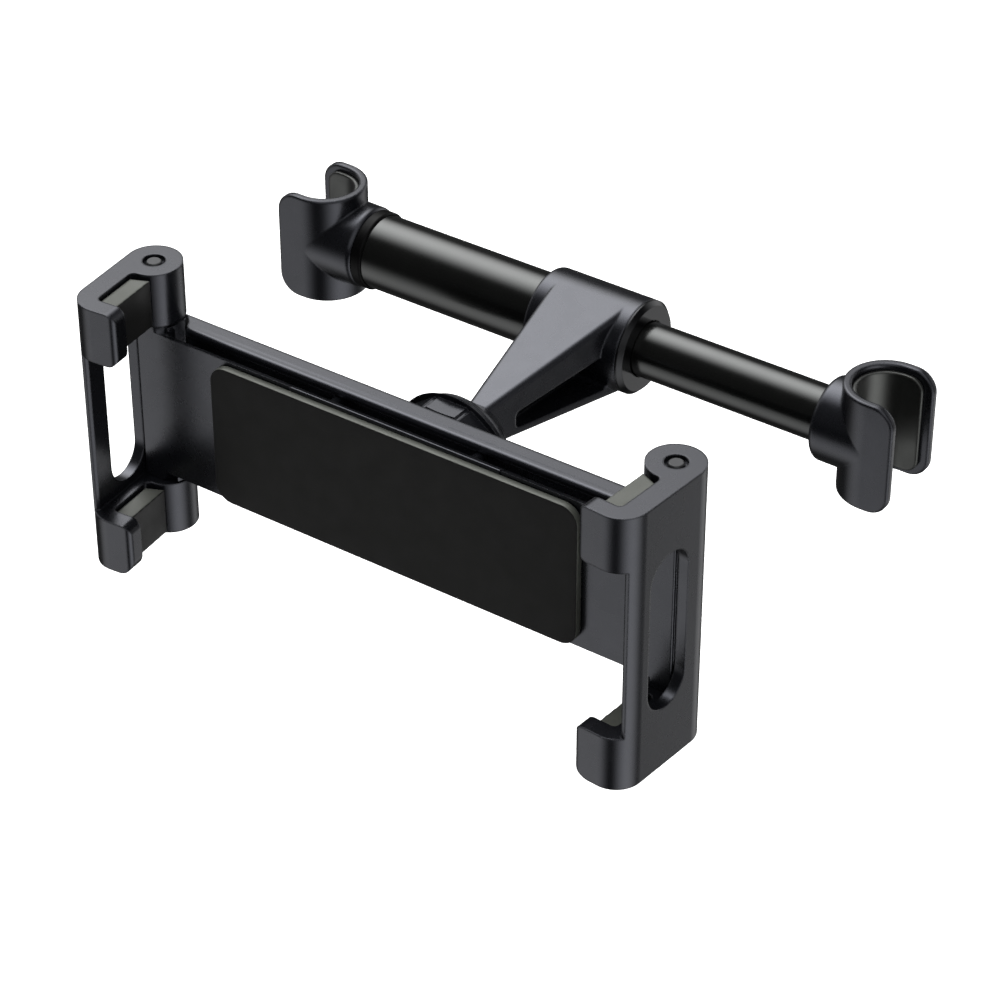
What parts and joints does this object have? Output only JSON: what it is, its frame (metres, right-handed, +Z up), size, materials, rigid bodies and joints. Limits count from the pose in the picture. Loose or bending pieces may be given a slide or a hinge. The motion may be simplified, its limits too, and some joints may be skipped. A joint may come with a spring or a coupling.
{
  "type": "headrest tablet mount",
  "caption": "Telescopic rod with a post clamp at each end, an arm with a ball joint, and a tablet holder whose jaws slide apart against a spring and fold out",
  "frame": {"origin": "on the rod's axis, midway between the centres of the headrest posts that its clamps hold", "axes": "+X along the rod from the thick tube to the thin one, +Y from the tablet to the seat, +Z up along the posts; the tablet faces -Y"},
  "size_m": [0.1798, 0.1159, 0.074],
  "materials": {
    "shell_plastic": "fine matte moulded texture, near black",
    "tube_coating": "satin black coating",
    "soft_rubber": "matte black rubber",
    "steel": "plain drawn steel",
    "black_steel": "blackened steel",
    "acetal": "plain natural acetal"
  },
  "bodies": {
    "rod": {"left_clamp": "shell_plastic", "left_clamp_liner": "soft_rubber", "left_tube_collar": "shell_plastic", "outer_tube": "tube_coating", "outer_tube_bush": "acetal", "rod_spring": "steel", "arm": "shell_plastic", "hub_end_ring": "shell_plastic"},
    "rod_end": {"inner_tube": "tube_coating", "inner_tube_bush": "acetal", "right_clamp": "shell_plastic", "right_clamp_liner": "soft_rubber"},
    "nut": {"lock_nut": "shell_plastic"},
    "tilt_ring": {"ball_seat_outer": "acetal"},
    "pan_ring": {"ball_seat_inner": "acetal"},
    "holder": {"ball_stud": "steel", "back_housing": "shell_plastic", "front_carrier": "shell_plastic", "carrier_screws": "steel", "front_pad": "soft_rubber", "pinion_screw": "steel", "pinion_spring": "steel"},
    "left_carriage": {"left_slide": "shell_plastic", "left_hinge_pin": "black_steel"},
    "right_carriage": {"right_slide": "shell_plastic", "right_hinge_pin": "black_steel"},
    "gear": {"pinion": "acetal"},
    "left_hook": {"left_jaw": "shell_plastic", "left_upper_pad": "soft_rubber", "left_lower_pad": "soft_rubber"},
    "right_hook": {"right_jaw": "shell_plastic", "right_upper_pad": "soft_rubber", "right_lower_pad": "soft_rubber"}
  },
  "joints": [
    {"name": "rod_extend", "type": "slide", "parent": "rod", "child": "rod_end", "axis": [1, 0, 0], "range_m": [-0.032, 0], "stiffness_N_per_m": 400, "springref_m": 0.02, "deforming": ["rod_spring"]},
    {"name": "nut_turn", "type": "hinge", "parent": "rod", "child": "nut", "pos_m": [0, -0.0605, -0.0041], "axis": [0, -1, 0], "range_deg": [0, 180]},
    {"name": "ball_tilt", "type": "hinge", "parent": "rod", "child": "tilt_ring", "pos_m": [0, -0.0605, -0.0041], "axis": [1, 0, 0], "range_deg": [-15, 15]},
    {"name": "ball_pan", "type": "hinge", "parent": "tilt_ring", "child": "pan_ring", "pos_m": [0, -0.0605, -0.0041], "axis": [0, 0, 1], "range_deg": [-15, 15]},
    {"name": "ball_spin", "type": "hinge", "parent": "pan_ring", "child": "holder", "pos_m": [0, -0.0605, -0.0041], "axis": [0, 1, 0], "continuous": true},
    {"name": "left_slide_out", "type": "slide", "parent": "holder", "child": "left_carriage", "axis": [-1, 0, 0], "range_m": [0, 0.06], "stiffness_N_per_m": 150, "springref_m": -0.03},
    {"name": "right_slide_out", "type": "slide", "parent": "holder", "child": "right_carriage", "axis": [1, 0, 0], "range_m": [0, 0.06]},
    {"name": "pinion_turn", "type": "hinge", "parent": "holder", "child": "gear", "pos_m": [0, -0.078, -0.0041], "axis": [0, -1, 0], "range_deg": [0, 688]},
    {"name": "left_jaw_fold", "type": "hinge", "parent": "left_carriage", "child": "left_hook", "pos_m": [-0.07307, -0.078, -0.0041], "axis": [0, 0, -1], "range_deg": [0, 60]},
    {"name": "right_jaw_fold", "type": "hinge", "parent": "right_carriage", "child": "right_hook", "pos_m": [0.07307, -0.078, -0.0041], "axis": [0, 0, 1], "range_deg": [0, 60]}
  ],
  "couplings": [
    {"joint": "right_slide_out", "follows": "left_slide_out", "ratio": 1},
    {"joint": "pinion_turn", "follows": "left_slide_out", "rad_per_m": 200}
  ]
}
